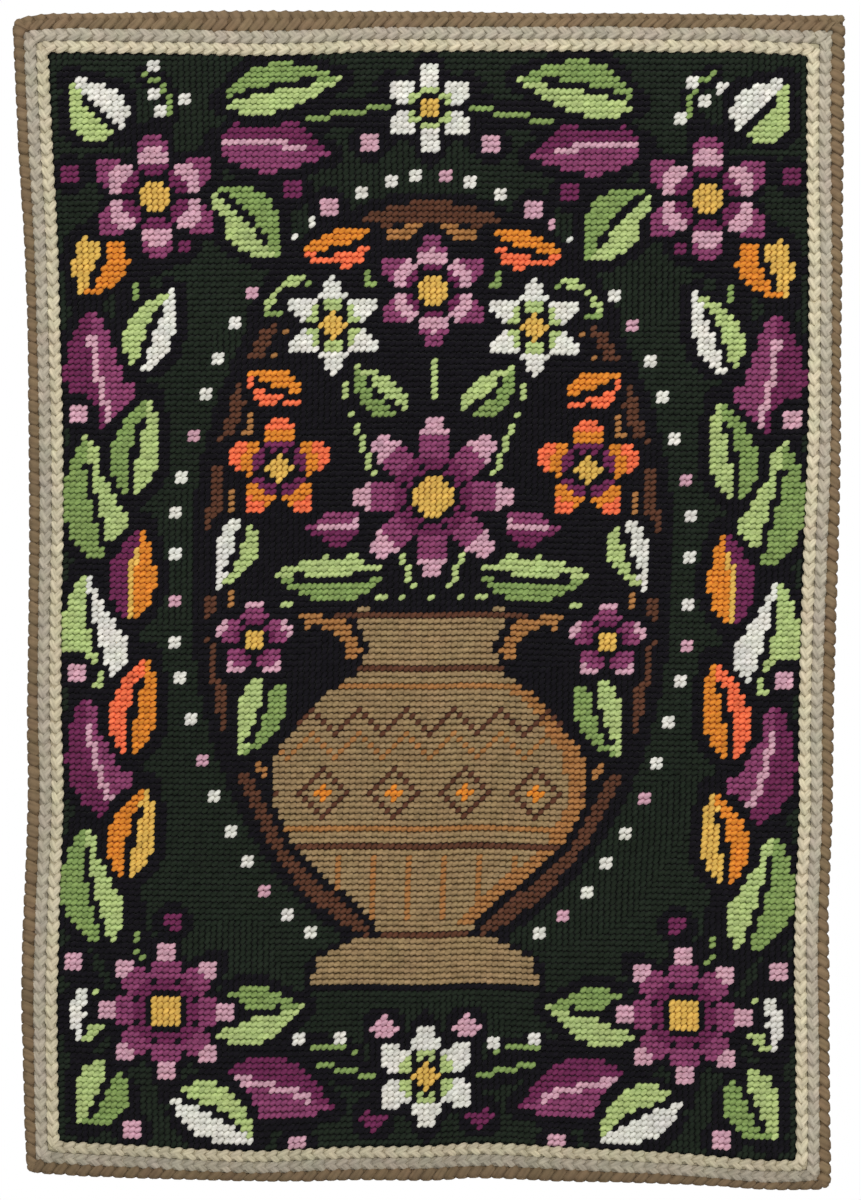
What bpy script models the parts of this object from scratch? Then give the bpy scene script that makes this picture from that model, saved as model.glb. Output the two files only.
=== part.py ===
# A wool needlepoint wall hanging: a tent-stitched canvas with its hem folded back, two plaited bands
# laid round the stitched field, and a binding worked over the folded edge.
# It hangs flat from its top edge. X runs across, -Y faces the room and Z is up.
# The origin is the middle of the top edge, on the wall's plane.

import math
from collections import namedtuple

import bmesh
import bpy
from mathutils import Vector

MM = 0.001

# The cloth laid straight, outside to outside of the binding, in mm. Hanging, it is TOP_WIDTH across its
# top edge and draws in below, as SIDE_ROWS say.
CLOTH_WIDTH = 497.0
CLOTH_HEIGHT = 716.0
TOP_WIDTH = 510.0

# How wide each band shows from the front, in mm. The top edge rolls forward, so its binding shows widest.
BandWidths = namedtuple("BandWidths", "binding greige cream")
BAND_WIDTHS = {
    "top": BandWidths(binding=9.6, greige=7.8, cream=7.2),
    "right": BandWidths(binding=6.9, greige=7.6, cream=7.2),
    "bottom": BandWidths(binding=7.2, greige=7.2, cream=6.8),
    "left": BandWidths(binding=6.2, greige=7.4, cream=7.2),
}

# Depths in mm from the wall's plane to each surface, towards the room.
BINDING_FRONT = 5.8
BINDING_BACK = 0.0
BAND_FRONT = 5.8
BAND_SHOULDER = 4.9
FIELD_FRONT = 4.7
FIELD_BACK = 1.9
HEM_FRONT = 3.6
HEM_BACK = 1.6
GAP = 0.3

# The fold of the hem lies this far inside the binding's outer edge, in mm.
FOLD_INSET = 2.6
FOLD_ROUND = 0.8

# The outline, from the top edge down: how far each side edge is drawn in from TOP_WIDTH, in mm.
SideRow = namedtuple("SideRow", "down left_in right_in")
SIDE_ROWS = (
    SideRow(down=0.00, left_in=0.0, right_in=0.0),
    SideRow(down=0.06, left_in=1.8, right_in=0.5),
    SideRow(down=0.12, left_in=3.8, right_in=0.9),
    SideRow(down=0.20, left_in=7.4, right_in=1.6),
    SideRow(down=0.28, left_in=9.6, right_in=2.3),
    SideRow(down=0.36, left_in=10.2, right_in=2.8),
    SideRow(down=0.44, left_in=10.4, right_in=4.0),
    SideRow(down=0.52, left_in=9.8, right_in=5.6),
    SideRow(down=0.60, left_in=9.0, right_in=6.9),
    SideRow(down=0.68, left_in=9.3, right_in=7.9),
    SideRow(down=0.76, left_in=7.5, right_in=10.4),
    SideRow(down=0.84, left_in=5.9, right_in=9.8),
    SideRow(down=0.92, left_in=7.0, right_in=9.6),
    SideRow(down=1.00, left_in=9.0, right_in=9.2),
)

# The outline, from left to right: how far the top edge sags, and how far the bottom edge drops below
# CLOTH_HEIGHT, in mm.
EndRow = namedtuple("EndRow", "across top_sag bottom_drop")
END_ROWS = (
    EndRow(across=0.00, top_sag=4.6, bottom_drop=-5.2),
    EndRow(across=0.04, top_sag=1.6, bottom_drop=-3.6),
    EndRow(across=0.12, top_sag=0.8, bottom_drop=-1.6),
    EndRow(across=0.22, top_sag=-0.2, bottom_drop=0.3),
    EndRow(across=0.32, top_sag=-0.5, bottom_drop=1.2),
    EndRow(across=0.42, top_sag=-0.2, bottom_drop=0.2),
    EndRow(across=0.50, top_sag=0.0, bottom_drop=0.2),
    EndRow(across=0.56, top_sag=0.4, bottom_drop=-1.4),
    EndRow(across=0.66, top_sag=1.1, bottom_drop=0.7),
    EndRow(across=0.76, top_sag=1.2, bottom_drop=2.0),
    EndRow(across=0.86, top_sag=1.8, bottom_drop=3.6),
    EndRow(across=0.92, top_sag=2.2, bottom_drop=5.3),
    EndRow(across=1.00, top_sag=2.4, bottom_drop=5.0),
)

# Where the hung cloth swells away from the wall: centre and reach as shares of its width and height,
# and the lift at the centre in mm.
Swell = namedtuple("Swell", "across down reach_across reach_down lift")
SWELLS = (
    Swell(across=0.46, down=0.55, reach_across=0.52, reach_down=0.40, lift=3.0),
    Swell(across=0.00, down=0.36, reach_across=0.24, reach_down=0.17, lift=2.6),
    Swell(across=0.02, down=0.82, reach_across=0.22, reach_down=0.15, lift=3.0),
    Swell(across=1.00, down=0.44, reach_across=0.24, reach_down=0.17, lift=2.2),
    Swell(across=0.99, down=0.77, reach_across=0.22, reach_down=0.15, lift=3.4),
    Swell(across=0.05, down=1.00, reach_across=0.26, reach_down=0.16, lift=3.6),
    Swell(across=0.56, down=1.00, reach_across=0.28, reach_down=0.16, lift=2.8),
    Swell(across=0.97, down=1.00, reach_across=0.26, reach_down=0.16, lift=5.0),
)

# The top strip is held flat against the wall down to HELD_TO, and the swells are full below FREE_FROM.
HELD_TO = 0.10
FREE_FROM = 0.24

# Corner roundings of the outer edge in mm, clockwise from the top left as seen from the front.
CORNER_RADII = (6.5, 3.5, 7.5, 5.5)

# Round the edge, stations lie CORNER_STEPS apart beside a corner and then evenly along the side.
CORNER_STEPS = (0.0, 3.0, 6.0)
CELLS_ACROSS = 22
CELLS_DOWN = 32

SIDES = ("top", "right", "bottom", "left")
OUTWARD = {"top": (0, -1), "right": (1, 0), "bottom": (0, 1), "left": (-1, 0)}

# Binding, bands and canvas each sit between these lines: 0 is the outer edge and 3 the field's edge.
EDGE_LINE = 0
BINDING_LINE = 1
GREIGE_LINE = 2
FIELD_LINE = 3

# One row of a cross-section: the line it is measured from, how far inside that line, and its depth.
SectionRow = namedtuple("SectionRow", "line inside depth")

Wool = namedtuple("Wool", "colour roughness")
WOOLS = {
    "canvas": Wool(colour=(0.020, 0.034, 0.022), roughness=0.90),
    "band_cream": Wool(colour=(0.60, 0.54, 0.40), roughness=0.88),
    "band_greige": Wool(colour=(0.41, 0.38, 0.31), roughness=0.88),
    "binding": Wool(colour=(0.20, 0.145, 0.10), roughness=0.90),
}


def clear_scene():
    for item in list(bpy.data.objects):
        bpy.data.objects.remove(item, do_unlink=True)


def read_rows(rows, place, value, at):
    """A smooth curve through one column of a table, read at a share of the cloth."""
    at = min(max(at, 0.0), 1.0)
    last = len(rows) - 2
    index = 0
    while index < last and getattr(rows[index + 1], place) <= at:
        index += 1
    four = [rows[min(max(index + step, 0), len(rows) - 1)] for step in (-1, 0, 1, 2)]
    before, start, end, after = [(getattr(row, place), getattr(row, value)) for row in four]
    span = end[0] - start[0]
    share = (at - start[0]) / span
    slope_start = (end[1] - before[1]) / (end[0] - before[0]) * span
    slope_end = (after[1] - start[1]) / (after[0] - start[0]) * span
    rise = share * share * (3.0 - 2.0 * share)
    return (
        start[1] * (1.0 - rise)
        + end[1] * rise
        + slope_start * share * (1.0 - share) ** 2
        - slope_end * share * share * (1.0 - share)
    )


def swell_depth(across, down):
    """How far the hung cloth stands off the wall, in mm, beside its own depth."""
    free = min(max((down - HELD_TO) / (FREE_FROM - HELD_TO), 0.0), 1.0)
    held = free * free * (3.0 - 2.0 * free)
    depth = 0.0
    for swell in SWELLS:
        aside = (across - swell.across) / swell.reach_across
        below = (down - swell.down) / swell.reach_down
        reach = min(math.hypot(aside, below), 1.0)
        depth += swell.lift * 0.5 * (1.0 + math.cos(math.pi * reach))
    return depth * held


def cloth_point(flat_x, flat_down, depth):
    """Where a point of the straight cloth, in mm from its top left, lies once it hangs."""
    across = flat_x / CLOTH_WIDTH
    down = flat_down / CLOTH_HEIGHT
    left = -TOP_WIDTH / 2 + read_rows(SIDE_ROWS, "down", "left_in", down)
    right = TOP_WIDTH / 2 - read_rows(SIDE_ROWS, "down", "right_in", down)
    top = -read_rows(END_ROWS, "across", "top_sag", across)
    bottom = -CLOTH_HEIGHT - read_rows(END_ROWS, "across", "bottom_drop", across)
    x = left + (right - left) * across
    y = -depth - swell_depth(across, down)
    z = top + (bottom - top) * down
    return Vector((x, y, z)) * MM


def line_inset(side, line):
    """How far a band line lies inside the outer edge of one side. Lines between two bands are allowed."""
    edges = [0.0]
    for width in BAND_WIDTHS[side]:
        edges.append(edges[-1] + width)
    whole = min(int(line), len(edges) - 2)
    return edges[whole] + (edges[whole + 1] - edges[whole]) * (line - whole)


def side_stations(length, cells):
    """Distances along a side: close beside its corners, and even between them."""
    near = CORNER_STEPS[-1]
    step = (length - 2 * near) / cells
    middle = [near + step * count for count in range(1, cells)]
    return [*CORNER_STEPS, *middle, *(length - back for back in reversed(CORNER_STEPS))]


def loop_points(row):
    """One closed loop round the cloth at a row of a section, clockwise from the top left corner."""
    inset = {side: line_inset(side, row.line) + row.inside for side in SIDES}
    low = (inset["left"], inset["top"])
    high = (CLOTH_WIDTH - inset["right"], CLOTH_HEIGHT - inset["bottom"])
    corners = [(low[0], low[1]), (high[0], low[1]), (high[0], high[1]), (low[0], high[1])]
    points = []
    for number, side in enumerate(SIDES):
        after = (number + 1) % len(SIDES)
        start, end = corners[number], corners[after]
        out, out_before = OUTWARD[side], OUTWARD[SIDES[number - 1]]
        out_after = OUTWARD[SIDES[after]]
        rounds = [max(CORNER_RADII[turn] - inset[side], 0.0) for turn in (number, after)]
        straight = abs(end[0] - start[0]) + abs(end[1] - start[1])
        halves = [radius * math.pi / 4 for radius in rounds]
        length = straight - sum(rounds) + sum(halves)
        cells = CELLS_ACROSS if out[0] == 0 else CELLS_DOWN
        for along in side_stations(length, cells)[:-1]:
            if along < halves[0]:
                points.append(arc_point(start, rounds[0], out_before, out, math.pi / 4 + along / rounds[0]))
            elif along > length - halves[1]:
                back = length - along
                points.append(arc_point(end, rounds[1], out, out_after, math.pi / 4 - back / rounds[1]))
            else:
                forward = along - halves[0] + rounds[0]
                points.append(tuple(start[axis] - out_before[axis] * forward for axis in (0, 1)))
    return [cloth_point(x, down, row.depth) for x, down in points]


def arc_point(corner, radius, out_before, out_after, turn):
    """A point of the rounding of one corner, turned from the side before it to the side after it."""
    share_before, share_after = math.cos(turn), math.sin(turn)
    return tuple(
        corner[axis]
        - radius * (out_before[axis] + out_after[axis])
        + radius * (out_before[axis] * share_before + out_after[axis] * share_after)
        for axis in (0, 1)
    )


def skin_loops(bm, section, closed):
    """Joins the loops of a section's rows by four-sided faces, back to the first row where it is closed."""
    loops = [[bm.verts.new(point) for point in loop_points(row)] for row in section]
    pairs = list(zip(loops, loops[1:]))
    if closed:
        pairs.append((loops[-1], loops[0]))
    for outer, inner in pairs:
        for index in range(len(outer)):
            after = (index + 1) % len(outer)
            bm.faces.new((outer[index], outer[after], inner[after], inner[index]))


def add_field(bm, row):
    """The stitched field's front or back: a grid whose rim is the loop of this row."""
    low_x = line_inset("left", row.line) + row.inside
    low_down = line_inset("top", row.line) + row.inside
    wide = CLOTH_WIDTH - low_x - line_inset("right", row.line) - row.inside
    high = CLOTH_HEIGHT - low_down - line_inset("bottom", row.line) - row.inside
    columns = side_stations(wide, CELLS_ACROSS)
    rows = side_stations(high, CELLS_DOWN)
    grid = bmesh.ops.create_grid(bm, x_segments=len(columns) - 1, y_segments=len(rows) - 1, size=0.5)
    for vert in grid["verts"]:
        column = round((vert.co.x + 0.5) * (len(columns) - 1))
        line = round((vert.co.y + 0.5) * (len(rows) - 1))
        vert.co = cloth_point(low_x + columns[column], low_down + rows[line], row.depth)


def finish(bm, name):
    """Closes the mesh, turns its faces outwards and makes it an object with its own wool."""
    bmesh.ops.remove_doubles(bm, verts=bm.verts, dist=1e-6)
    bmesh.ops.recalc_face_normals(bm, faces=bm.faces)
    mesh = bpy.data.meshes.new(name)
    bm.to_mesh(mesh)
    bm.free()
    mesh.shade_smooth()
    mesh.set_sharp_from_angle(angle=math.radians(40))
    item = bpy.data.objects.new(name, mesh)
    bpy.context.scene.collection.objects.link(item)
    wool = WOOLS[name]
    material = bpy.data.materials.new(name + "_wool")
    material.use_nodes = True
    shader = material.node_tree.nodes["Principled BSDF"]
    shader.inputs["Base Color"].default_value = (*wool.colour, 1.0)
    shader.inputs["Roughness"].default_value = wool.roughness
    shader.inputs["Metallic"].default_value = 0.0
    material.diffuse_color = (*wool.colour, 1.0)
    mesh.materials.append(material)


def make_canvas():
    """The stitched field, and round it the thinner hem that the bands and the binding cover."""
    fold_middle = (HEM_FRONT + HEM_BACK) / 2
    front = SectionRow(FIELD_LINE, GAP, FIELD_FRONT)
    back = SectionRow(FIELD_LINE, GAP, FIELD_BACK)
    section = [
        front,
        SectionRow(FIELD_LINE, GAP / 2, HEM_FRONT),
        SectionRow(GREIGE_LINE, 0.0, HEM_FRONT),
        SectionRow(BINDING_LINE, 0.0, HEM_FRONT),
        SectionRow(EDGE_LINE, FOLD_INSET + FOLD_ROUND, HEM_FRONT),
        SectionRow(EDGE_LINE, FOLD_INSET, fold_middle),
        SectionRow(EDGE_LINE, FOLD_INSET + FOLD_ROUND, HEM_BACK),
        SectionRow(BINDING_LINE, 0.0, HEM_BACK),
        SectionRow(GREIGE_LINE, 0.0, HEM_BACK),
        SectionRow(FIELD_LINE, GAP / 2, HEM_BACK),
        back,
    ]
    bm = bmesh.new()
    skin_loops(bm, section, closed=False)
    add_field(bm, front)
    add_field(bm, back)
    finish(bm, "canvas")


def make_band(name, outer_line, inner_line):
    """A plaited band: a low rounded strip that lies on the front of the hem."""
    base = HEM_FRONT + GAP
    width = inner_line - outer_line
    flank = BAND_SHOULDER + 0.75 * (BAND_FRONT - BAND_SHOULDER)
    section = [
        SectionRow(outer_line, GAP / 2, base),
        SectionRow(outer_line, GAP / 2, BAND_SHOULDER),
        SectionRow(outer_line + 0.22 * width, 0.0, flank),
        SectionRow(outer_line + 0.50 * width, 0.0, BAND_FRONT),
        SectionRow(outer_line + 0.78 * width, 0.0, flank),
        SectionRow(inner_line, -GAP / 2, BAND_SHOULDER),
        SectionRow(inner_line, -GAP / 2, base),
    ]
    bm = bmesh.new()
    skin_loops(bm, section, closed=True)
    finish(bm, name)


def make_binding():
    """The binding: a rounded channel that wraps the folded edge, front and back."""
    front_inside = HEM_FRONT + GAP
    back_inside = HEM_BACK - GAP
    middle = (BINDING_FRONT + BINDING_BACK) / 2
    fold_middle = (HEM_FRONT + HEM_BACK) / 2
    nose = 0.5
    shoulder = 1.7
    section = [
        SectionRow(EDGE_LINE, 0.0, middle),
        SectionRow(EDGE_LINE, nose, BINDING_FRONT - 1.4),
        SectionRow(EDGE_LINE, shoulder, BINDING_FRONT - 0.4),
        SectionRow(0.55, 0.0, BINDING_FRONT),
        SectionRow(0.80, 0.0, BINDING_FRONT - 0.3),
        SectionRow(BINDING_LINE, -GAP / 2, BAND_SHOULDER),
        SectionRow(BINDING_LINE, -GAP / 2, front_inside),
        SectionRow(EDGE_LINE, FOLD_INSET + FOLD_ROUND - GAP, front_inside),
        SectionRow(EDGE_LINE, FOLD_INSET - GAP, fold_middle),
        SectionRow(EDGE_LINE, FOLD_INSET + FOLD_ROUND - GAP, back_inside),
        SectionRow(BINDING_LINE, -GAP / 2, back_inside),
        SectionRow(BINDING_LINE, -2 * GAP, BINDING_BACK + 0.3),
        SectionRow(0.55, 0.0, BINDING_BACK),
        SectionRow(EDGE_LINE, shoulder, BINDING_BACK + 0.2),
        SectionRow(EDGE_LINE, nose, BINDING_BACK + 1.2),
    ]
    bm = bmesh.new()
    skin_loops(bm, section, closed=True)
    finish(bm, "binding")


def main():
    clear_scene()
    make_canvas()
    make_band("band_cream", GREIGE_LINE, FIELD_LINE)
    make_band("band_greige", BINDING_LINE, GREIGE_LINE)
    make_binding()


main()
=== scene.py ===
import math
from collections import namedtuple

import bmesh
import bpy
import numpy as np
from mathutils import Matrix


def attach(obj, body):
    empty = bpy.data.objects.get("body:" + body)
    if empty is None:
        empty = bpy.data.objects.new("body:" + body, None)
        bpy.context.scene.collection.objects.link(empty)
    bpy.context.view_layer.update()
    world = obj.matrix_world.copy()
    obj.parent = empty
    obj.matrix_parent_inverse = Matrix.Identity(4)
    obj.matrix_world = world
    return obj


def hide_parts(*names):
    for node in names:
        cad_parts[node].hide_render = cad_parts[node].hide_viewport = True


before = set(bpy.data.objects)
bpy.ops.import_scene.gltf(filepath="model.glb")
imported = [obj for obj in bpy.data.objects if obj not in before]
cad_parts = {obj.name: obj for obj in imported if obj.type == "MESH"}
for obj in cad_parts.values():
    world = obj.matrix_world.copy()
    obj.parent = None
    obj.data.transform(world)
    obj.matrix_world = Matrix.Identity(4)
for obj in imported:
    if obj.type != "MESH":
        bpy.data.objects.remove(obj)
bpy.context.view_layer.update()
random = np.random.default_rng(11)

# the hung cloth: the tables of the CAD part, and the wander of the bands, which is only made here
mm = 0.001  # metres
cloth = {
    "width": 497.0,
    "height": 716.0,
    "topWidth": 510.0,
    "heldTo": 0.10,  # share of the height that lies flat against the wall
    "freeFrom": 0.24,  # share below which the swells are full
    "cornerRadii": (6.5, 3.5, 7.5, 5.5),  # clockwise from the top left
}
sideNames = ("top", "right", "bottom", "left")
bandWidths = {  # binding, greige band, cream band
    "top": (9.6, 7.8, 7.2),
    "right": (6.9, 7.6, 7.2),
    "bottom": (7.2, 7.2, 6.8),
    "left": (6.2, 7.4, 7.2),
}
sideRows = np.array([  # share down, left edge drawn in, right edge drawn in
    (0.00, 0.0, 0.0), (0.06, 1.8, 0.5), (0.12, 3.8, 0.9), (0.20, 7.4, 1.6), (0.28, 9.6, 2.3),
    (0.36, 10.2, 2.8), (0.44, 10.4, 4.0), (0.52, 9.8, 5.6), (0.60, 9.0, 6.9), (0.68, 9.3, 7.9),
    (0.76, 7.5, 10.4), (0.84, 5.9, 9.8), (0.92, 7.0, 9.6), (1.00, 9.0, 9.2),
])
endRows = np.array([  # share across, sag of the top edge, drop of the bottom edge
    (0.00, 4.6, -5.2), (0.04, 1.6, -3.6), (0.12, 0.8, -1.6), (0.22, -0.2, 0.3), (0.32, -0.5, 1.2),
    (0.42, -0.2, 0.2), (0.50, 0.0, 0.2), (0.56, 0.4, -1.4), (0.66, 1.1, 0.7), (0.76, 1.2, 2.0),
    (0.86, 1.8, 3.6), (0.92, 2.2, 5.3), (1.00, 2.4, 5.0),
])
wanders = {  # share along a side, and how much further in the bands' lines lie there
    "top": (
        (0.00, 0.0), (0.07, 0.2), (0.14, 1.2), (0.22, 2.6), (0.29, 3.6), (0.36, 2.8), (0.43, 0.7),
        (0.50, 0.4), (0.58, -0.4), (0.65, -0.9), (0.72, -1.3), (0.80, -0.6), (0.87, -1.4), (0.94, 0.2),
        (1.00, 0.0),
    ),
    "right": (
        (0.00, 0.0), (0.05, 0.6), (0.13, 0.2), (0.20, -1.2), (0.28, -1.9), (0.36, -1.7), (0.44, -0.6),
        (0.60, -0.3), (0.67, -1.2), (0.75, -1.2), (0.82, -0.4), (0.90, -1.0), (1.00, 0.0),
    ),
    "bottom": (
        (0.00, 0.0), (0.07, -0.6), (0.14, -0.8), (0.22, -2.2), (0.29, -2.6), (0.36, -1.2), (0.43, -0.6),
        (0.50, 0.0), (0.58, 0.4), (0.65, 0.2), (0.72, -0.9), (0.80, -1.8), (0.87, -3.0), (0.94, -3.2),
        (1.00, -1.6),
    ),
    "left": (
        (0.00, 0.0), (0.05, -0.2), (0.13, 0.0), (0.20, -0.5), (0.28, -0.9), (0.36, 0.3), (0.44, 0.3),
        (0.52, -0.3), (0.60, 0.4), (0.67, 1.4), (0.75, 1.3), (0.82, 1.6), (0.90, 0.8), (1.00, 0.0),
    ),
}
wanderReach = ((0.0, 7.0, 22.0, 60.0), (0.0, 0.85, 1.0, 0.0))  # mm in from the edge, and the share there
swells = (  # centre across and down, reach across and down as shares of the cloth, and lift
    (0.46, 0.55, 0.52, 0.40, 3.0), (0.00, 0.36, 0.24, 0.17, 2.6), (0.02, 0.82, 0.22, 0.15, 3.0),
    (1.00, 0.44, 0.24, 0.17, 2.2), (0.99, 0.77, 0.22, 0.15, 3.4), (0.05, 1.00, 0.26, 0.16, 3.6),
    (0.56, 1.00, 0.28, 0.16, 2.8), (0.97, 1.00, 0.26, 0.16, 5.0),
)


def readRows(rows, column, at):
    # a smooth curve through one column of a table whose first column is the place
    places, values = rows[:, 0], rows[:, column]
    at = np.clip(at, 0.0, 1.0)
    index = np.clip(np.searchsorted(places, at, side="right") - 1, 0, len(rows) - 2)
    before = np.maximum(index - 1, 0)
    after = np.minimum(index + 2, len(rows) - 1)
    span = places[index + 1] - places[index]
    share = (at - places[index]) / span
    slopeStart = (values[index + 1] - values[before]) / (places[index + 1] - places[before]) * span
    slopeEnd = (values[after] - values[index]) / (places[after] - places[index]) * span
    rise = share * share * (3 - 2 * share)
    level = values[index] * (1 - rise) + values[index + 1] * rise
    return level + slopeStart * share * (1 - share) ** 2 - slopeEnd * share * share * (1 - share)


def wandered(x, down):
    # moves points of the straight cloth, so that its bands lie a little unevenly, as worked by hand
    width, height = cloth["width"], cloth["height"]
    sides = (
        ("top", x / width, down), ("right", down / height, width - x),
        ("bottom", x / width, height - down), ("left", down / height, x),
    )
    shift = {
        name: readRows(np.array(wanders[name]), 1, along) * np.interp(inside, *wanderReach)
        for name, along, inside in sides
    }
    return x + shift["left"] - shift["right"], down + shift["top"] - shift["bottom"]


def clothPoint(x, down, depth):
    # where points of the straight cloth lie once it hangs, in metres
    x, down = wandered(x, down)
    across, below = x / cloth["width"], down / cloth["height"]
    left = -cloth["topWidth"] / 2 + readRows(sideRows, 1, below)
    right = cloth["topWidth"] / 2 - readRows(sideRows, 2, below)
    top = -readRows(endRows, 1, across)
    bottom = -cloth["height"] - readRows(endRows, 2, across)
    free = np.clip((below - cloth["heldTo"]) / (cloth["freeFrom"] - cloth["heldTo"]), 0, 1)
    swell = np.zeros(np.shape(x))
    for centreAcross, centreDown, reachAcross, reachDown, lift in swells:
        reach = np.hypot((across - centreAcross) / reachAcross, (below - centreDown) / reachDown)
        swell = swell + lift * 0.5 * (1 + np.cos(math.pi * np.minimum(reach, 1)))
    swell = swell * free * free * (3 - 2 * free)
    hung = (left + (right - left) * across, -depth - swell, top + (bottom - top) * below)
    return np.stack(hung, axis=-1) * mm


bandEdges = np.array([np.concatenate(([0.0], np.cumsum(bandWidths[name]))) for name in sideNames])
travel = np.array([(1, 0), (0, 1), (-1, 0), (0, -1)])  # clockwise along each side, in x and down
outward = np.array([(0, -1), (1, 0), (0, 1), (-1, 0)])


def ringInsets(line, inside):
    return np.stack([np.interp(line, range(4), edges) + inside for edges in bandEdges])


quarter = math.pi / 4  # half a corner's turn
mitreOverlap = 0.4
leastRadius = 1e-6  # where a line lies so far in that its corner is sharp


def ringSides(inset):
    # each side's length between the middles of its corners, and the radii at its start and end
    wide = cloth["width"] - inset[1] - inset[3]
    high = cloth["height"] - inset[0] - inset[2]
    radii = cloth["cornerRadii"]
    starts = np.stack([np.maximum(radii[side] - inset[side], leastRadius) for side in range(4)])
    ends = np.stack([np.maximum(radii[(side + 1) % 4] - inset[side], leastRadius) for side in range(4)])
    return np.stack([wide, high, wide, high]) - (starts + ends) * (1 - quarter), starts, ends


def ringPoint(turn, line, inside):
    # a point round the cloth: turn counts sides clockwise from the top left corner
    turn = np.asarray(turn, float) % 4
    line, inside = np.broadcast_to(line, turn.shape), np.broadcast_to(inside, turn.shape)
    side = np.minimum(np.floor(turn).astype(int), 3)
    inset = ringInsets(line, inside)
    left, up = inset[3], inset[0]
    right, low = cloth["width"] - inset[1], cloth["height"] - inset[2]
    cornersX, cornersDown = np.stack([left, right, right, left]), np.stack([up, up, low, low])

    def pick(table, which):
        return np.take_along_axis(table, which[None], 0)[0]

    after = (side + 1) % 4
    start = np.stack([pick(cornersX, side), pick(cornersDown, side)])
    end = np.stack([pick(cornersX, after), pick(cornersDown, after)])
    length, roundStart, roundEnd = (pick(table, side) for table in ringSides(inset))
    along = (turn - side) * length
    go = np.moveaxis(travel[side], -1, 0)
    place = start + go * (along + roundStart * (1 - quarter))
    out, outBefore, outAfter = (np.moveaxis(outward[which], -1, 0) for which in (side, side - 1, after))

    def arc(corner, radius, first, last, angle):
        return corner - radius * (first + last) + radius * (first * np.cos(angle) + last * np.sin(angle))

    atStart = along < roundStart * quarter
    place = np.where(atStart, arc(start, roundStart, outBefore, out, quarter + along / roundStart), place)
    back = length - along
    atEnd = back < roundEnd * quarter
    place = np.where(atEnd, arc(end, roundEnd, out, outAfter, quarter - back / roundEnd), place)
    return place[0], place[1]


def ringTurn(side, along, line, inside, middleLine=None, overlap=mitreOverlap):
    # along is mm from where the side starts on the middle line, square to the side on every line,
    # or from its first mitre where no middle line is given; it ends just past each mitre
    inset = ringInsets(line, inside)
    lengths, starts, _ = ringSides(inset)
    if middleLine is not None:
        fromMiddle = ringInsets(middleLine, 0.0)[side - 1] - inset[side - 1]
        along = along + fromMiddle - starts[side] * (1 - quarter)
    own = lengths[side]
    along = np.clip(along, -overlap, own + overlap)
    past = side + 1 + (along - own) / lengths[(side + 1) % 4]
    short = side + along / lengths[side - 1]
    return np.where(along < 0, short, np.where(along > own, past, side + along / own))


def ringLoops(section, turns):
    # each point of a cross-section, by line, mm inside it and depth, carried round the cloth
    return [clothPoint(*ringPoint(turns, float(line), inside), depth) for line, inside, depth in section]


print("cloth tables ready")

# meshes from many small parts
Part = namedtuple("Part", "points sizes corners tone crown ply bake")
Shape = namedtuple("Shape", "along across lift crown sizes corners ply bake")
strand = {
    "tipRadius": 1e-4,  # of the unit ball, within which a point is one of its two tips
    "directionStep": 0.08,  # share of the length over which the direction is read
    "fadeTo": 0.07,  # share of the length from a tip where the crown fades no more
    "roundRoom": 0.8,  # height of one turn in a cell of the bake map, which leaves room for the seam
    "cellMargin": 0.06,
    "plyStarts": 3,  # each strand's plies start at random within so many repeats
}
strandMeshes = {  # sides round each kind of strand, rings along it, and degrees that it is turned
    "stitch": (5, 3, 18.0),
    "backStitch": (4, 2, 0.0),
    "leg": (8, 6, 22.5),
    "arm": (6, 5, 30.0),
    "bar": (5, 3, 18.0),
    "corner": (8, 14, 22.5),
}


def strandShape(rows, kind, tipCrown=0.45, tipFade=0.3):
    # one strand of wool: rows of share along it, along, across, lift, half width and half height
    around, rings, turn = strandMeshes[kind]
    bm = bmesh.new()
    bmesh.ops.create_uvsphere(bm, u_segments=around, v_segments=rings, radius=1.0)
    ball = np.array([vert.co for vert in bm.verts])
    faces = [[vert.index for vert in face.verts] for face in bm.faces]
    bm.free()
    share = np.arccos(np.clip(ball[:, 2], -1, 1)) / math.pi
    angle = np.arctan2(ball[:, 1], ball[:, 0]) + math.radians(turn)
    body = np.hypot(ball[:, 0], ball[:, 1]) > strand["tipRadius"]
    shares, *columns = np.array(rows, float).T
    along, across, lift, halfWidth, halfHeight = (np.interp(share, shares, column) for column in columns)
    low, high = (np.clip(share + way * strand["directionStep"], 0, 1) for way in (-1, 1))
    goAlong, goAcross = (
        np.interp(high, shares, column) - np.interp(low, shares, column) for column in columns[:2]
    )
    reach = np.hypot(goAlong, goAcross)
    aside, rise = np.cos(angle) * halfWidth * body, np.sin(angle) * halfHeight * body
    # crown is 1 on a strand's top and falls at its sides and tips; the wool is painted in shade where it is
    # low
    crown = np.where(body, 0.5 + 0.5 * np.sin(angle), tipCrown)
    crown = crown * np.sin(math.pi * np.clip(share, strand["fadeTo"], 1 - strand["fadeTo"])) ** tipFade
    ply = []
    for face in faces:
        turns = [(angle[index] / (2 * math.pi)) % 1 for index in face]
        known = [value for value, index in zip(turns, face) if body[index]]
        onSeam = max(known) - min(known) > 0.5
        turns = [value + (onSeam and value < 0.5) for value in turns]
        middle = sum(value for value, index in zip(turns, face) if body[index]) / len(known)
        ply.extend((share[index], value if body[index] else middle) for value, index in zip(turns, face))
    ply = np.array(ply, float)
    return Shape(
        along - aside * goAcross / reach, across + aside * goAlong / reach, lift + rise, crown,
        np.array([len(face) for face in faces]), np.concatenate(faces), ply,
        ply * (1.0, strand["roundRoom"]),
    )


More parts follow.
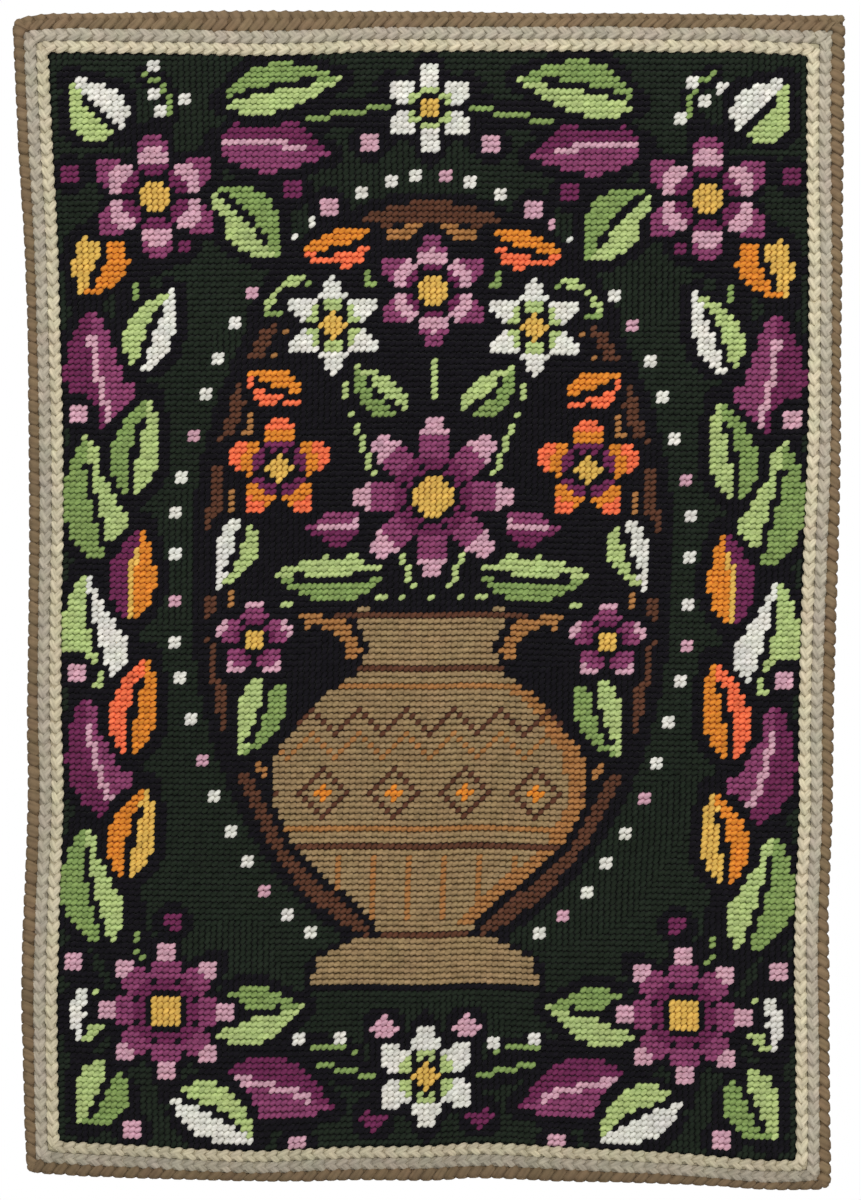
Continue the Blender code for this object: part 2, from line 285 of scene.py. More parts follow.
def strandPart(shape, points, tone, plyLength, firstCell, cells):
    # the same strand at many places; each has its own cell of the bake map
    count, size = points.shape[:2]
    corners = (shape.corners[None] + np.arange(count)[:, None] * size).ravel()
    cell = firstCell + np.arange(count)
    corner = np.stack([cell % cells, cell // cells], -1)[:, None, :]
    margin = strand["cellMargin"]
    bake = (corner + margin + shape.bake[None] * (1 - 2 * margin)) / cells
    ply = np.broadcast_to(shape.ply * (plyLength, 1.0), (count, *shape.ply.shape))
    ply = ply + random.random((count, 1, 2)) * strand["plyStarts"]
    return Part(
        points.reshape(-1, 3), np.tile(shape.sizes, count), corners, np.repeat(tone, size),
        np.tile(shape.crown, count), ply.reshape(-1, 2), bake.reshape(-1, 2),
    )


def facedOut(part):
    # turns the faces round where they enclose a negative volume
    starts = np.concatenate(([0], np.cumsum(part.sizes)[:-1]))
    a, b, c = (part.points[part.corners[starts + step]] for step in range(3))
    d = part.points[part.corners[starts + part.sizes - 1]]
    volume = np.einsum("ij,ij->i", a, np.cross(b, c)) + np.einsum("ij,ij->i", a, np.cross(c, d))
    if volume.sum() > 0:
        return part
    order = np.repeat(2 * starts + part.sizes - 1, part.sizes) - np.arange(len(part.corners))
    return part._replace(corners=part.corners[order], ply=part.ply[order], bake=part.bake[order])


def addObject(name, data):
    item = bpy.data.objects.new(name, data)
    bpy.context.scene.collection.objects.link(item)
    return item


def makeMesh(name, parts, material, shades=None):
    parts = [facedOut(part) for part in parts]

    def joined(field):
        return np.concatenate([getattr(part, field) for part in parts]).astype(np.float32).ravel()

    offsets = np.cumsum([0] + [len(part.points) for part in parts[:-1]])
    corners = np.concatenate([part.corners + offset for part, offset in zip(parts, offsets)])
    sizes = np.concatenate([part.sizes for part in parts])
    starts = np.concatenate(([0], np.cumsum(sizes)[:-1]))
    mesh = bpy.data.meshes.new(name)
    mesh.vertices.add(sum(len(part.points) for part in parts))
    mesh.vertices.foreach_set("co", joined("points"))
    mesh.loops.add(len(corners))
    mesh.loops.foreach_set("vertex_index", corners.astype(np.int32))
    mesh.polygons.add(len(sizes))
    mesh.polygons.foreach_set("loop_start", starts.astype(np.int32))
    mesh.polygons.foreach_set("use_smooth", np.ones(len(sizes), bool))
    mesh.update(calc_edges=True)
    for field in ("tone", "crown"):
        mesh.attributes.new(field, "FLOAT", "POINT").data.foreach_set("value", joined(field))
    for field, title in (("ply", "Ply"), ("bake", "OFBake")):
        mesh.uv_layers.new(name=title).data.foreach_set("uv", joined(field))
    if shades is not None:
        layer = mesh.color_attributes.new("shade", "FLOAT_COLOR", "POINT")
        layer.data.foreach_set("color", np.column_stack([shades, np.ones(len(shades))]).ravel())
    mesh.materials.append(material)
    return addObject(name, mesh)


def mergeDoubles(item, distance, turnOut=False):
    bm = bmesh.new()
    bm.from_mesh(item.data)
    bmesh.ops.remove_doubles(bm, verts=bm.verts, dist=distance)
    if turnOut:
        bmesh.ops.recalc_face_normals(bm, faces=bm.faces)
    bm.to_mesh(item.data)
    bm.free()


def gridPart(loops, closed, tone=1.0, crown=0.15, plies=80.0, bakeRoom=(0.0, 0.0, 1.0, 1.0)):
    # rows of points joined by four-sided faces, each row a closed ring where closed is set
    rows, columns = loops.shape[:2]
    wrap = columns if closed else columns - 1
    first = np.arange(wrap)
    second = (first + 1) % columns
    base = (np.arange(rows - 1) * columns)[:, None]
    corners = np.stack([base + first, base + second, base + columns + second, base + columns + first], -1)
    low = np.stack(np.broadcast_arrays(first / wrap, (np.arange(rows - 1) / (rows - 1))[:, None]), -1)
    step = np.array([(0, 0), (1, 0), (1, 1), (0, 1)]) / (wrap, rows - 1)
    flat = (low[:, :, None, :] + step).reshape(-1, 2)
    left, bottom, wide, high = bakeRoom
    bake = flat * (wide, high) + (left, bottom)
    count = rows * columns
    return Part(
        loops.reshape(-1, 3), np.full((rows - 1) * wrap, 4), corners.ravel(), np.full(count, tone),
        np.full(count, crown), flat * (plies, 1.0), bake,
    )


# wool
wools = {  # what is dyed, by name, as sRGB
    "ground": "#1f271e",
    "outline": "#151318",
    "lime": "#a9ba79",
    "leafGreen": "#7f9657",
    "plum": "#6b2b50",
    "mauve": "#854166",
    "pink": "#c69aa8",
    "orange": "#d5832f",
    "coral": "#ea7049",
    "mustard": "#d2aa54",
    "white": "#d5d3ca",
    "tan": "#927b59",
    "amber": "#a07042",
    "umber": "#5b3a2b",
    "cream": "#c4ba9f",
    "greige": "#aba290",
    "taupe": "#79664e",
}
woolLook = {
    "roughness": 0.92,
    "sheen": 0.06,
    "sheenRoughness": 0.5,
    "specular": 0.05,
    "grooveShade": 0.95,  # painted shade in the grooves: how dark their deeper colour is
    "grooveDepth": 1.3,  # how much deeper it is
    "grooveCrown": (0.35, 0.90),  # crown where the painted groove shade is full, and where the wool's own colour begins
    "fibreScale": 900.0,  # per metre: tufts of 1 mm, coarser than real fibres so that they show
    "fibreDepth": 0.12,
    "fibreBump": 0.7,
    "mottleScale": 160.0,  # patches of 6 mm, about two stitches
    "mottle": 0.12,
    "tintScale": 75.0,  # uneven dye, every 13 mm
    "tint": 0.10,
    "noiseRange": (0.3, 0.7),
    "plies": 2.0,
    "plyDepth": 0.18,
    "plyBump": 0.8,
    "crease": 0.86,  # painted shade of the creases between plies
    "creaseWave": (-1.0, -0.2),  # part of the wave across a ply that they take
}
# the bands' thicker strands are less evenly dyed, show their plies, and take darker painted shade in their
# grooves and ply creases
bandLook = {
    **woolLook, "grooveShade": 0.85, "grooveDepth": 1.5, "tint": 0.12, "crease": 0.84, "plies": 4.0,
}


def linear(code):
    values = [int(code[at : at + 2], 16) / 255 for at in (1, 3, 5)]
    return tuple(((v + 0.055) / 1.055) ** 2.4 if v > 0.04045 else v / 12.92 for v in values)


def groove(code, look):
    # painted shade for the grooves between strands: a deeper, darker colour, as light that reaches the eye
    # from there has met the wool more often
    return tuple(value ** look["grooveDepth"] * look["grooveShade"] for value in linear(code))


def joinInputs(tree, node, values):
    # each input, by name or number, takes a value, an output, or the first output of a node
    for key, value in values.items():
        if isinstance(value, bpy.types.Node):
            value = value.outputs[0]
        if isinstance(value, bpy.types.NodeSocket):
            tree.links.new(value, node.inputs[key])
        else:
            node.inputs[key].default_value = value


def addNode(tree, kind, values=None, **settings):
    node = tree.nodes.new("ShaderNode" + kind)
    for key, value in settings.items():
        setattr(node, key, value)
    joinInputs(tree, node, values or {})
    return node


def startMaterial(name):
    material = bpy.data.materials.new(name)
    material.use_nodes = True
    return material, material.node_tree, material.node_tree.nodes["Principled BSDF"]


def woolMaterial(name, code, look):
    # Dyed tapestry wool, spun and plied from long coarse fibres: the eye sees a matt thread with
    # a faint halo of fuzz, creases where the plies twist, and no highlight.
    material, tree, shader = startMaterial(name)
    tone = addNode(tree, "Attribute", attribute_name="tone")
    crown = addNode(tree, "Attribute", attribute_name="crown")
    place = addNode(tree, "TexCoord").outputs["Object"]
    mottle = addNode(tree, "TexNoise", {"Vector": place, "Scale": look["mottleScale"], "Detail": 3.0})
    fibre = addNode(tree, "TexNoise", {"Vector": place, "Scale": look["fibreScale"], "Detail": 2.0})
    drift = addNode(tree, "TexNoise", {"Vector": place, "Scale": look["tintScale"], "Detail": 2.0})
    parts = addNode(tree, "SeparateXYZ", {0: addNode(tree, "UVMap", uv_map="Ply")})
    twist = addNode(tree, "Math", {0: parts.outputs[1], 1: look["plies"]}, operation="MULTIPLY")
    phase = addNode(tree, "Math", {0: twist, 1: parts.outputs[0]}, operation="ADD")
    turns = addNode(tree, "Math", {0: phase, 1: 2 * math.pi}, operation="MULTIPLY")
    wave = addNode(tree, "Math", {0: turns}, operation="COSINE")
    low, high = look["creaseWave"]
    crease = addNode(tree, "MapRange", {
        "Value": wave, "From Min": low, "From Max": high, "To Min": look["crease"], "To Max": 1.0,
    })
    low, high = look["grooveCrown"]
    side = addNode(tree, "MapRange", {"Value": crown.outputs["Fac"], "From Min": low, "From Max": high})
    low, high = look["noiseRange"]
    cloud = addNode(tree, "MapRange", {
        "Value": mottle, "From Min": low, "From Max": high,
        "To Min": 1 - look["mottle"], "To Max": 1 + look["mottle"],
    })
    tint = addNode(tree, "VectorMath", {
        0: drift.outputs["Color"], 1: (look["tint"],) * 3, 2: (1 - look["tint"] / 2,) * 3,
    }, operation="MULTIPLY_ADD")
    # painted shade: where the crown is low the wool takes its deeper groove colour, and the creases between
    # plies are painted darker
    colour = addNode(tree, "Mix", {
        0: side, 6: (*groove(code, look), 1.0), 7: (*linear(code), 1.0),
    }, data_type="RGBA").outputs[2]
    shaded = addNode(tree, "VectorMath", {0: colour, 1: tint}, operation="MULTIPLY")
    for factor in (tone.outputs["Fac"], cloud, crease):
        shaded = addNode(tree, "VectorMath", {0: shaded, 3: factor}, operation="SCALE")
    ply = addNode(tree, "Bump", {
        "Height": wave, "Strength": look["plyBump"], "Distance": look["plyDepth"] * mm,
    })
    fuzz = addNode(tree, "Bump", {
        "Height": fibre, "Strength": look["fibreBump"], "Distance": look["fibreDepth"] * mm, "Normal": ply,
    })
    joinInputs(tree, shader, {
        "Base Color": shaded, "Normal": fuzz, "Roughness": look["roughness"],
        "Specular IOR Level": look["specular"], "Sheen Weight": look["sheen"],
        "Sheen Roughness": look["sheenRoughness"],
        "Sheen Tint": (*(0.5 + 0.5 * value for value in linear(code)), 1.0),
    })
    return material


bandWools = ("cream", "greige", "taupe")
woolMaterials = {
    name: woolMaterial(name + "_wool", code, bandLook if name in bandWools else woolLook)
    for name, code in wools.items()
}
print("wool materials ready")

# the chart: which wool each tent stitch takes, with places in stitches from the middle of the top row
chartWools = [name for name in wools if name not in bandWools]
chartSize = {"across": 125, "down": 185}
across, down = np.meshgrid(
    np.arange(chartSize["across"]) - chartSize["across"] // 2, np.arange(chartSize["down"]),
)
chart = np.full(across.shape, chartWools.index("ground"))
outlines = {  # how wide the black lies round each kind of shape
    "stem": 2.0, "stalk": 1.4, "leaf": 2.2, "flower": 2.2, "heart": 0.9, "berry": 1.6, "urn": 1.4,
    "handle": 1.2,
}
lineHalves = {"stem": 0.55, "stalk": 0.4}
oval = {
    "centre": 88,
    "reachX": 41,
    "reachY": 65,
    "rings": ((3.4, 1.05, "umber"), (6.6, 0.6, "amber")),  # inset, half width, wool
    "beads": 60,
    "beadReach": 2.6,
}


def fill(inside, wool):
    # the stitches of the chart that are inside take this wool
    chart[inside] = chartWools.index(wool)


def fillBead(x, row, wool):
    # a dot of two stitches by two
    fill((across >= x) & (across < x + 2) & (down >= row) & (down < row + 2), wool)


def lay(field, wool, kind):
    # a shape, with a black outline round it
    fill(field < outlines[kind], "outline")
    fill(field < 0, wool)


def ovalField(inset=0.0):
    reachX, reachY = oval["reachX"] - inset, oval["reachY"] - inset
    return (np.hypot(across / reachX, (down - oval["centre"]) / reachY) - 1) * reachX


def curvePoints(points, count=60):
    a, b, c, d = (np.array(point, float) for point in points)
    t = np.linspace(0, 1, count)[:, None]
    return (1 - t) ** 3 * a + 3 * t * (1 - t) ** 2 * b + 3 * t * t * (1 - t) * c + t**3 * d


def mirrored(points, side):
    return [(side * x, y) for x, y in points]


def drawCurve(points, wool, kind="stem"):
    far = np.min([np.hypot(across - x, down - y) for x, y in curvePoints(points)], axis=0)
    lay(far - lineHalves[kind], wool, kind)


leafForm = {
    "bow": 0.8,  # of its middle line
    "widest": 0.8,  # less than 1 brings its widest place nearer to its base
    "taper": 0.8,  # less than 1 makes it fuller
    "ribHalf": 0.62,
    "ribEnd": 0.8,  # share of its length
}
leafLooks = {  # the lit half, the shaded half, the rib
    "lime": ("lime", "leafGreen", "outline"),
    "plum": ("mauve", "plum", "pink"),
    "orange": ("orange", "coral", "outline"),
    "orangePlum": ("orange", "plum", "mustard"),
    "pale": ("white", "lime", "outline"),
    "mustard": ("mustard", "orange", "outline"),
}


def drawLeaf(side, baseX, baseY, tipX, tipY, width, look):
    baseX, tipX = side * baseX, side * tipX
    length = math.hypot(tipX - baseX, tipY - baseY)
    goX, goY = (tipX - baseX) / length, (tipY - baseY) / length
    along = (across - baseX) * goX + (down - baseY) * goY
    share = np.clip(along / length, 0, 1)
    aside = ((down - baseY) * goX - (across - baseX) * goY) * side
    aside = aside - leafForm["bow"] * np.sin(math.pi * share)
    half = width / 2 * np.sin(math.pi * share ** leafForm["widest"]) ** leafForm["taper"]
    field = np.maximum(np.abs(aside) - half, np.maximum(-along, along - length))
    lit, shaded, rib = leafLooks[look]
    lay(field, lit, "leaf")
    fill((field < 0) & (aside > 0), shaded)
    fill((field < 0) & (np.abs(aside) < leafForm["ribHalf"]) & (share < leafForm["ribEnd"]), rib)


flowerForm = {  # shares of its reach, but for the cut
    "notch": 0.40,  # between its petals
    "middle": 0.74,
    "base": 0.50,
    "cutFrom": 0.3,
    "cut": -0.86,  # the black between two petals lies where their wave is below this
    "heart": 0.24,
}
flowerLooks = {  # petal tips, petals, petal bases, heart
    "plum": ("pink", "mauve", "plum", "mustard"),
    "mauve": ("mauve", "pink", "plum", "mustard"),
    "coral": ("coral", "orange", "plum", "mustard"),
    "white": ("white", "white", "lime", "mustard"),
}


def drawFlower(side, x, y, reach, petals, look):
    angle = np.arctan2(across - side * x, y - down)
    far = np.hypot(across - side * x, down - y)
    petal = np.cos(petals * angle)
    field = far - reach * (1 - flowerForm["notch"] * (0.5 - 0.5 * petal))
    tips, middle, base, heart = flowerLooks[look]
    lay(field, tips, "flower")
    fill((field < 0) & (far < reach * flowerForm["middle"]), middle)
    fill((field < 0) & (far < reach * flowerForm["base"]), base)
    fill((field < 0) & (petal < flowerForm["cut"]) & (far > reach * flowerForm["cutFrom"]), "outline")
    lay(far - reach * flowerForm["heart"], heart, "heart")


spray = {"dots": 4, "dotReach": 1.9}


def drawSpray(points):
    # a thin stalk with dots left and right of it
    line = curvePoints(points, spray["dots"] + 1)
    drawCurve(points, "leafGreen", "stalk")
    for number, (start, end) in enumerate(zip(line[:-1], line[1:])):
        goX, goY = (end - start) / np.hypot(*(end - start))
        reach = spray["dotReach"] * (1 if number % 2 else -1)
        fillBead(round(end[0] - goY * reach), round(end[1] + goX * reach), "white")


urn = {
    "top": 91.5,
    "foot": 157.5,
    "profile": (  # row of the chart, and the urn's half width there
        (92, 17), (95, 17), (96, 12.5), (101, 10.5), (105, 13), (110, 20), (118, 26), (126, 27),
        (134, 23), (142, 14), (147, 9), (149, 8), (150, 13), (153, 18.5), (157, 19.5),
    ),
    "bands": (
        (95, "umber"), (104, "umber"), (107, "amber"), (131, "amber"), (134, "umber"), (149, "umber"),
    ),
    "handle": {"x": 19.5, "row": 104, "reach": 7.0, "half": 1.3, "height": 1.25},
    "shade": {"width": 3.5, "from": 106, "to": 148},  # down its right side
    "zigzags": {"rows": ((111, "umber"), (115, "amber")), "repeat": 8, "half": 0.8},
    "diamonds": {"row": 125, "repeat": 12, "reach": 4, "half": 0.6, "heart": 1.5},
    "flutes": {"from": 135, "to": 147, "repeat": 6},
}


def fromRepeat(count):
    # how far each stitch lies from the middle of its repeat across
    return np.abs(across % count - count / 2)


def drawUrn():
    handle, shade, flutes = urn["handle"], urn["shade"], urn["flutes"]
    zigzags, diamonds = urn["zigzags"], urn["diamonds"]
    for side in (-1, 1):
        ring = np.hypot(across - side * handle["x"], (down - handle["row"]) / handle["height"])
        lay(np.abs(ring - handle["reach"]) - handle["half"], "amber", "handle")
    half = np.interp(down, *zip(*urn["profile"]))
    field = np.maximum(np.abs(across) - half, np.maximum(urn["top"] - down, down - urn["foot"]))
    lay(field, "tan", "urn")
    inside = field < 0
    shaded = (across > half - shade["width"]) & (down > shade["from"]) & (down < shade["to"])
    fill(inside & shaded, "amber")
    for row, wool in urn["bands"]:
        fill(inside & (down == row), wool)
    for row, wool in zigzags["rows"]:
        fill(inside & (np.abs(down - row - fromRepeat(zigzags["repeat"])) < zigzags["half"]), wool)
    diamond = fromRepeat(diamonds["repeat"]) + np.abs(down - diamonds["row"])
    fill(inside & (np.abs(diamond - diamonds["reach"]) < diamonds["half"]), "umber")
    fill(inside & (diamond < diamonds["heart"]), "orange")
    fluted = (down > flutes["from"]) & (down < flutes["to"]) & (fromRepeat(flutes["repeat"]) == 0)
    fill(inside & fluted, "amber")


def drawOval():
    fill(ovalField() < 0, "outline")
    for inset, half, wool in oval["rings"]:
        fill(np.abs(ovalField(inset)) < half, wool)
    for number in range(oval["beads"]):
        turn = 2 * math.pi * (number + 0.5) / oval["beads"]
        x = math.floor((oval["reachX"] + oval["beadReach"]) * math.sin(turn))
        row = round(oval["centre"] + (oval["reachY"] + oval["beadReach"]) * math.cos(turn))
        fillBead(x, row, "pink" if number % 4 == 1 else "white")


wreathStems = (
    ((44, 163), (56, 142), (51, 112), (53, 86)),
    ((53, 86), (55, 60), (52, 44), (46, 24)),
    ((3, 176), (14, 170), (28, 170), (43, 165)),
    ((2, 9), (14, 9), (28, 12), (44, 22)),
)
wreathLeaves = (  # x and row of the base and of the tip, width, look
    (54, 151, 59, 131, 11, "lime"), (53, 130, 59, 109, 11, "plum"), (54, 108, 59, 88, 11, "pale"),
    (54, 87, 59, 65, 11, "lime"), (54, 64, 58, 43, 11, "plum"), (51, 140, 48, 124, 8, "mustard"),
    (51, 119, 48, 102, 8, "orange"), (51, 96, 49, 80, 8, "orangePlum"), (51, 75, 48, 58, 8, "lime"),
    (50, 54, 44, 40, 8, "pale"), (36, 165, 21, 161, 10, "lime"), (34, 173, 16, 178, 10, "plum"),
    (43, 176, 29, 183, 9, "pale"), (53, 171, 59, 182, 10, "lime"), (57, 158, 59, 168, 7, "pale"),
    (35, 15, 17, 17, 10, "plum"), (36, 23, 26, 35, 10, "lime"), (34, 8, 15, 4, 9, "lime"),
    (51, 13, 59, 4, 10, "pale"), (54, 29, 59, 41, 9, "mustard"),
)
berries = (  # x, row, reach, wool
    (60, 154, 1.9, "pink"), (7, 165, 2.1, "pink"), (9, 180, 2.1, "plum"), (10, 15, 2.0, "pink"),
    (60, 20, 1.9, "plum"), (17, 26, 1.9, "pink"), (50, 182, 2.0, "pink"), (23, 23, 1.9, "plum"),
    (43, 147, 1.9, "plum"), (42, 32, 1.9, "plum"), (22, 184, 1.9, "pink"), (60, 61, 1.7, "pink"),
    (60, 105, 1.7, "pink"),
)
sprays = (((44, 12), (42, 8), (43, 5), (47, 3)), ((26, 168), (20, 168), (16, 167), (12, 169)))
cornerFlowers = ((44, 162, 12, 8, "plum"), (46, 24, 11, 6, "mauve"))  # x, row, reach, petals, look
bouquetStems = (
    ((3, 92), (6, 80), (12, 70), (16, 52)),
    ((5, 92), (14, 86), (22, 82), (26, 72)),
    ((8, 92), (16, 90), (25, 90), (30, 98)),
)
bouquetLeaves = (
    (8, 88, 27, 88, 8, "lime"), (5, 61, 13, 53, 7, "lime"), (27, 104, 32, 119, 8, "lime"),
    (22, 58, 32, 54, 7, "orange"), (4, 46, 11, 34, 6, "lime"), (32, 78, 36, 90, 7, "pale"),
    (12, 79, 21, 80, 6, "plum"), (10, 31, 22, 34, 7, "orange"), (21, 38, 29, 44, 6, "lime"),
)
bouquetFlowers = ((17, 46, 8.5, 6, "white"), (26, 70, 9, 5, "coral"), (30, 99, 7, 5, "plum"))
middleStem = ((0, 92), (0, 72), (0, 55), (0, 40))
middleFlowers = (
    (0, 75, 14, 8, "plum"), (0, 40, 9.5, 6, "mauve"), (0, 9, 8, 6, "white"), (0, 173, 9, 6, "white"),
)


def drawChart():
    drawOval()
    for side in (-1, 1):
        for points in sprays:
            drawSpray(mirrored(points, side))
        for stem in wreathStems:
            drawCurve(mirrored(stem, side), "leafGreen")
        for leaf in wreathLeaves:
            drawLeaf(side, *leaf)
        for x, row, reach, wool in berries:
            lay(np.hypot(across - side * x, down - row) - reach, wool, "berry")
    drawUrn()
    drawCurve(middleStem, "lime")
    for side in (-1, 1):
        for stem in bouquetStems:
            drawCurve(mirrored(stem, side), "lime")
        for leaf in bouquetLeaves:
            drawLeaf(side, *leaf)
        for flower in bouquetFlowers + cornerFlowers:
            drawFlower(side, *flower)
    for flower in middleFlowers:
        drawFlower(1, *flower)


drawChart()
shares = np.bincount(chart.ravel(), minlength=len(chartWools)) / chart.size
print("chart ready", {name: round(float(share), 3) for name, share in zip(chartWools, shares)})

# the canvas with its hem
canvas = {
    "fieldInside": 0.3,  # from the bands to the field
    "front": 3.5,  # depths of its two faces
    "back": 2.7,
    "thread": 3.63,  # from one thread to the next
    "holeRim": 0.4,  # half of the wave over which a thread turns into a hole
    # painted shade in the canvas holes
    "holeShade": 0.45,
    "bump": 0.6,
    "bumpDepth": 0.3,
    "roughness": 0.95,
    "specular": 0.2,
    "bare": "#cbbd9c",  # on the hem
    "gapLook": {"grooveDepth": 1.4, "grooveShade": 0.60},  # painted in the wool's colours, deepened as painted shade, since it lies between the stitches
    "darkLoops": (5, 3),  # of the rim's loops, the first and last ones, which lie under wool and take its painted shade
}
fieldInset = ringInsets(3.0, canvas["fieldInside"])
field = {
    "left": fieldInset[3], "right": cloth["width"] - fieldInset[1],
    "top": fieldInset[0], "bottom": cloth["height"] - fieldInset[2],
}
pitch = (
    (field["right"] - field["left"]) / chartSize["across"],
    (field["bottom"] - field["top"]) / chartSize["down"],
)
hemSection = (  # line, inside it, depth: from the field's front, round the fold and hem, to its back
    (3, 0.0, 3.6), (2, 0.0, 3.6), (1, 0.0, 3.6), (0, 3.5, 3.6), (0, 2.8, 3.2), (0, 2.6, 2.65),
    (0, 2.8, 2.1), (0, 3.5, 1.7), (1, 0.0, 1.7), (2, 0.0, 1.7), (3, -0.9, 1.7), (3, -0.9, 2.4),
    (1, 0.0, 2.4), (0, 4.3, 2.45), (0, 4.1, 2.65), (0, 4.3, 2.85), (1, 0.0, 2.9), (3, 0.0, 2.8),
)


def gridRim(grid):
    # the outer points of a grid, clockwise from its first one
    return np.concatenate([grid[0, :-1], grid[:-1, -1], grid[-1, :0:-1], grid[:0:-1, 0]])


def makeCanvas():
    columns, rows = chartSize["across"], chartSize["down"]
    gridX, gridDown = np.meshgrid(
        np.linspace(field["left"], field["right"], columns + 1),
        np.linspace(field["top"], field["bottom"], rows + 1),
    )
    front = clothPoint(gridX, gridDown, canvas["front"])
    back = clothPoint(gridX, gridDown, canvas["back"])
    turns = np.concatenate([side + np.arange(size) / size for side, size in enumerate((columns, rows) * 2)])
    loops = [gridRim(front), *ringLoops(hemSection, turns), gridRim(back)]
    # the canvas shows only between the stitches, so it is painted in the chart's colours deepened as
    # painted shade
    shadedPicture = np.array([groove(wools[name], canvas["gapLook"]) for name in chartWools])
    # each hole takes the darkest of the four wools round it, in painted shade
    around = np.pad(chart, 1, mode="edge")
    four = np.stack([around[:-1, :-1], around[:-1, 1:], around[1:, :-1], around[1:, 1:]])
    darkest = np.take_along_axis(four, shadedPicture.sum(1)[four].argmin(0)[None], 0)[0]
    gaps = shadedPicture[darkest].reshape(-1, 3)
    # the hem's loops under the wool take the ground's colour in painted shade; the rest is bare cotton
    bare, dark = linear(canvas["bare"]), groove(wools["ground"], canvas["gapLook"])
    first, last = canvas["darkLoops"]
    rim = [dark] * first + [bare] * (len(loops) - first - last) + [dark] * last
    parts = [
        gridPart(front, False, bakeRoom=(0.0, 0.5, 0.5, 0.5)),
        gridPart(back, False, bakeRoom=(0.5, 0.5, 0.5, 0.5)),
        gridPart(np.array(loops), True, bakeRoom=(0.0, 0.0, 1.0, 0.48)),
    ]
    shades = np.concatenate([gaps, gaps, np.repeat(rim, len(turns), 0)])
    item = makeMesh("canvas_cloth", parts, canvasMaterial(), shades)
    mergeDoubles(item, distance=1e-6, turnOut=True)
    return item


def canvasMaterial():
    # Cotton needlepoint canvas, woven open and stiffened with size: the eye sees a dull mesh of
    # threads with square holes, here with painted shade in the holes. Under the stitches it is painted in
    # the colours of the chart, deepened with painted shade.
    material, tree, shader = startMaterial("canvas_mesh")
    shade = addNode(tree, "Attribute", attribute_name="shade").outputs["Color"]
    parts = addNode(tree, "SeparateXYZ", {0: addNode(tree, "TexCoord").outputs["Object"]})
    waves = []
    for axis in (0, 2):
        turn = addNode(tree, "Math", {
            0: parts.outputs[axis], 1: 2 * math.pi / (canvas["thread"] * mm),
        }, operation="MULTIPLY")
        waves.append(addNode(tree, "Math", {0: turn}, operation="COSINE"))
    mesh = addNode(tree, "Math", {0: waves[0], 1: waves[1]}, operation="MAXIMUM")
    # painted shade: the holes between the threads are darker
    dark = addNode(tree, "MapRange", {
        "Value": mesh, "From Min": -canvas["holeRim"], "From Max": canvas["holeRim"],
        "To Min": canvas["holeShade"], "To Max": 1.0,
    })
    bump = addNode(tree, "Bump", {
        "Height": mesh, "Strength": canvas["bump"], "Distance": canvas["bumpDepth"] * mm,
    })
    shaded = addNode(tree, "VectorMath", {0: shade, 3: dark}, operation="SCALE")
    joinInputs(tree, shader, {
        "Base Color": shaded, "Normal": bump, "Roughness": canvas["roughness"],
        "Specular IOR Level": canvas["specular"],
    })
    return material


canvasCloth = makeCanvas()
print("canvas ready")

# tent stitches, front and back
stitch = {
    "halfLength": 2.85,
    "halfWidth": 1.60,
    "halfHeight": 0.90,
    "lift": 3.95,  # depth of a stitch's middle
    "dip": 0.45,  # how far its ends sink
    "plyLength": 1.2,  # repeats of the ply pattern along it
    "backHalfLength": 4.0,
    "backHalfWidth": 1.45,
    "backHalfHeight": 0.55,
    "backLift": 2.4,
    "backDip": 0.3,
    "backPlyLength": 1.8,
    "backShift": 1.8,  # half a stitch to the left, as seen from the front
    "backTone": 0.95,
    "backSlant": 27.0,
    "backSlantSpread": 4.0,
    # the crown at a stitch's tips and how fast it fades there; a low crown is painted shade
    "tipCrown": 0.80,
    "tipFade": 0.12,
    "rowSlant": 32.0,  # degrees: wool worked in rows leans, wool worked in columns stands
    "columnSlant": 58.0,
    "slantSpread": 3.0,
    "toneSpread": 0.055,
    "sizeSpread": 0.04,
    "placeSpread": 0.10,
    "drift": 0.35,  # of the rows and columns from straight lines, over the next two waves
    "driftAcross": (31, 1.3, 83),  # mm to a radian, bend, mm to a radian of the bend
    "driftDown": (43, 1.1, 67),
    "patchWave": (37, 2.0, 71),
    "patchSlope": (29, 90),
    "patchFrom": 0.15,  # more leaves fewer patches
    "rowTone": 0.03,
    "rowToneWave": (1 / 1.7, 1.0, 19),
}
stitchRows = (  # share along a stitch, then its reach, dip and thickness there as shares
    (0.0, -1.0, 1.0, 0.5), (0.3, -0.62, 0.15, 1.0), (0.7, 0.62, 0.15, 1.0), (1.0, 1.0, 1.0, 0.5),
)
slants = {  # degrees, for the wools that are all worked one way
    "lime": 32.0, "leafGreen": 32.0, "pink": 35.0, "tan": 20.0, "amber": 24.0, "umber": 36.0,
    "plum": 32.0, "mauve": 33.0, "orange": 36.0, "coral": 36.0, "mustard": 52.0, "white": 42.0,
}
plumpness = {  # of a stitch, for the wools that fill out more than the dark ones
    "white": 1.12, "lime": 1.11, "leafGreen": 1.08, "pink": 1.09, "mustard": 1.08, "orange": 1.07,
    "coral": 1.05, "mauve": 1.05, "plum": 1.05, "tan": 1.03,
}


def stitchShape(kind, length, width, height, dip):
    rows = [
        (share, reach * length, 0, -sink * dip, size * width, size * height)
        for share, reach, sink, size in stitchRows
    ]
    return strandShape(rows, kind, stitch["tipCrown"], stitch["tipFade"])


def stitchPoints(shape, x, below, slant, size, depth):
    turn = np.radians(slant)[:, None]
    along, aside = shape.along[None] * size[:, None], shape.across[None] * size[:, None]
    # along runs up to the right; down is positive below
    px = x[:, None] + along * np.cos(turn) + aside * np.sin(turn)
    pd = below[:, None] - along * np.sin(turn) + aside * np.cos(turn)
    return clothPoint(px, pd, depth + shape.lift[None])


def bentWave(at, other, length, bend, bendLength):
    return np.sin(at / length + bend * np.sin(other / bendLength))


